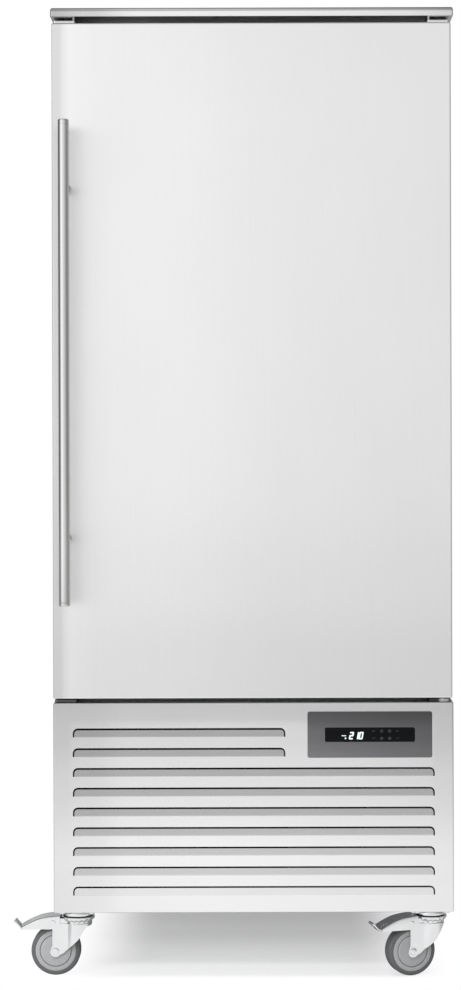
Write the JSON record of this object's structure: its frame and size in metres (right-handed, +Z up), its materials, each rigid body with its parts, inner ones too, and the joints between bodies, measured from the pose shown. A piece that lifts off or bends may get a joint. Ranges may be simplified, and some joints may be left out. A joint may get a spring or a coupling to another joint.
{
  "type": "blast chiller",
  "caption": "Upright stainless steel blast chiller on castors: tall hinged door with a bar handle, louvred base with a touch panel, and tray runners inside.",
  "frame": {"origin": "middle of the floor area that the whole object covers at rest, castors and pedals included, at floor level", "axes": "+Z up; the door faces -Y; +X is to the right of someone who faces the door, where the hinges are"},
  "size_m": [0.8896, 0.8776, 1.95],
  "materials": {
    "stainless": "fine satin brushed stainless steel, grain upright on the door and level on the base",
    "inner_stainless": "smooth stainless steel liner and racks",
    "polished_steel": "polished stainless steel",
    "galvanised": "galvanised sheet with a fine spangle",
    "aluminium_fins": "thin aluminium fins and fan blades",
    "dark_bezel": "dark grey satin metallic",
    "black_paint": "black enamel",
    "foam": null,
    "gasket_rubber": "soft grey vinyl gasket",
    "window_glass": "black gloss touch panel",
    "grey_plastic": "grey moulded plastic",
    "breaker_plastic": "pale thermal breaker",
    "tyre_rubber": "grey non-marking rubber",
    "zinc": "bright zinc-plated pressed steel"
  },
  "bodies": {
    "root": {"side_panel_left": "stainless", "side_panel_right": "stainless", "top_cap": "stainless", "back_panel": "stainless", "cabinet_insulation": "foam", "inner_liner": "inner_stainless", "front_frame": "breaker_plastic", "fan_baffle": "inner_stainless", "evaporator_coil": "aluminium_fins", "tray_rack_left": "inner_stainless", "tray_rack_right": "inner_stainless", "probe_socket": "grey_plastic", "hinge_upper": "polished_steel", "hinge_lower": "polished_steel", "blank_bracket_upper": "polished_steel", "blank_bracket_lower": "polished_steel", "compartment_deck": "galvanised", "base_chassis": "galvanised", "louvred_front_panel": "stainless", "rear_grille": "galvanised", "control_bezel": "dark_bezel", "display_window": "window_glass", "control_box": "grey_plastic", "cable_gland": "grey_plastic", "compressor": "black_paint", "condenser_coil": "aluminium_fins", "fan_shroud": "galvanised", "liquid_receiver": "black_paint", "evaporating_tray": "grey_plastic", "condenser_fan_motor": "black_paint", "evaporator_lower_fan_motor": "black_paint", "evaporator_upper_fan_motor": "black_paint", "front_left_castor_plate": "zinc", "front_right_castor_plate": "zinc", "rear_left_castor_plate": "zinc", "rear_right_castor_plate": "zinc"},
    "door": {"door_skin": "stainless", "door_core": "foam", "door_liner": "inner_stainless", "door_gasket": "gasket_rubber", "handle_bar": "polished_steel", "handle_post_upper": "polished_steel", "handle_post_lower": "polished_steel"},
    "condenser_fan": {"condenser_fan": "aluminium_fins"},
    "evaporator_lower_fan": {"evaporator_lower_fan": "aluminium_fins"},
    "evaporator_upper_fan": {"evaporator_upper_fan": "aluminium_fins"},
    "front_left_swivel": {"front_left_castor_fork": "zinc"},
    "front_left_wheel": {"front_left_tyre": "tyre_rubber", "front_left_hub": "grey_plastic"},
    "front_right_swivel": {"front_right_castor_fork": "zinc"},
    "front_right_wheel": {"front_right_tyre": "tyre_rubber", "front_right_hub": "grey_plastic"},
    "rear_left_swivel": {"rear_left_castor_fork": "zinc"},
    "rear_left_wheel": {"rear_left_tyre": "tyre_rubber", "rear_left_hub": "grey_plastic"},
    "rear_right_swivel": {"rear_right_castor_fork": "zinc"},
    "rear_right_wheel": {"rear_right_tyre": "tyre_rubber", "rear_right_hub": "grey_plastic"},
    "front_left_brake": {"front_left_brake_pedal": "zinc"},
    "front_right_brake": {"front_right_brake_pedal": "zinc"}
  },
  "joints": [
    {"name": "door_hinge", "type": "hinge", "parent": "root", "child": "door", "pos_m": [0.42284, -0.35597, 1.2435], "axis": [0, 0, 1], "range_deg": [0, 110]},
    {"name": "front_left_swivel_joint", "type": "hinge", "parent": "root", "child": "front_left_swivel", "pos_m": [-0.31566, -0.29797, 0.125], "axis": [0, 0, 1], "continuous": true},
    {"name": "front_left_wheel_spin", "type": "hinge", "parent": "front_left_swivel", "child": "front_left_wheel", "pos_m": [-0.35966, -0.29797, 0.05], "axis": [0, 1, 0], "continuous": true},
    {"name": "front_left_brake_press", "type": "hinge", "parent": "front_left_swivel", "child": "front_left_brake", "pos_m": [-0.36346, -0.29797, 0.1092], "axis": [0, -1, 0], "range_deg": [0, 12]},
    {"name": "front_right_swivel_joint", "type": "hinge", "parent": "root", "child": "front_right_swivel", "pos_m": [0.40134, -0.29797, 0.125], "axis": [0, 0, 1], "continuous": true},
    {"name": "front_right_wheel_spin", "type": "hinge", "parent": "front_right_swivel", "child": "front_right_wheel", "pos_m": [0.35927, -0.31083, 0.05], "axis": [-0.2924, 0.9563, 0], "continuous": true},
    {"name": "front_right_brake_press", "type": "hinge", "parent": "front_right_swivel", "child": "front_right_brake", "pos_m": [0.35563, -0.31194, 0.1092], "axis": [0.2924, -0.9563, 0], "range_deg": [0, 12]},
    {"name": "rear_left_swivel_joint", "type": "hinge", "parent": "root", "child": "rear_left_swivel", "pos_m": [-0.31566, 0.34203, 0.125], "axis": [0, 0, 1], "continuous": true},
    {"name": "rear_left_wheel_spin", "type": "hinge", "parent": "rear_left_swivel", "child": "rear_left_wheel", "pos_m": [-0.35966, 0.34203, 0.05], "axis": [0, 1, 0], "continuous": true},
    {"name": "rear_right_swivel_joint", "type": "hinge", "parent": "root", "child": "rear_right_swivel", "pos_m": [0.40134, 0.34203, 0.125], "axis": [0, 0, 1], "continuous": true},
    {"name": "rear_right_wheel_spin", "type": "hinge", "parent": "rear_right_swivel", "child": "rear_right_wheel", "pos_m": [0.35801, 0.33439, 0.05], "axis": [-0.1736, 0.9848, 0], "continuous": true},
    {"name": "condenser_fan_spin", "type": "hinge", "parent": "root", "child": "condenser_fan", "pos_m": [-0.09716, -0.25467, 0.3298], "axis": [0, 1, 0], "continuous": true},
    {"name": "evaporator_lower_fan_spin", "type": "hinge", "parent": "root", "child": "evaporator_lower_fan", "pos_m": [0.04284, 0.22923, 0.96], "axis": [0, 1, 0], "continuous": true},
    {"name": "evaporator_upper_fan_spin", "type": "hinge", "parent": "root", "child": "evaporator_upper_fan", "pos_m": [0.04284, 0.22923, 1.48], "axis": [0, 1, 0], "continuous": true}
  ]
}
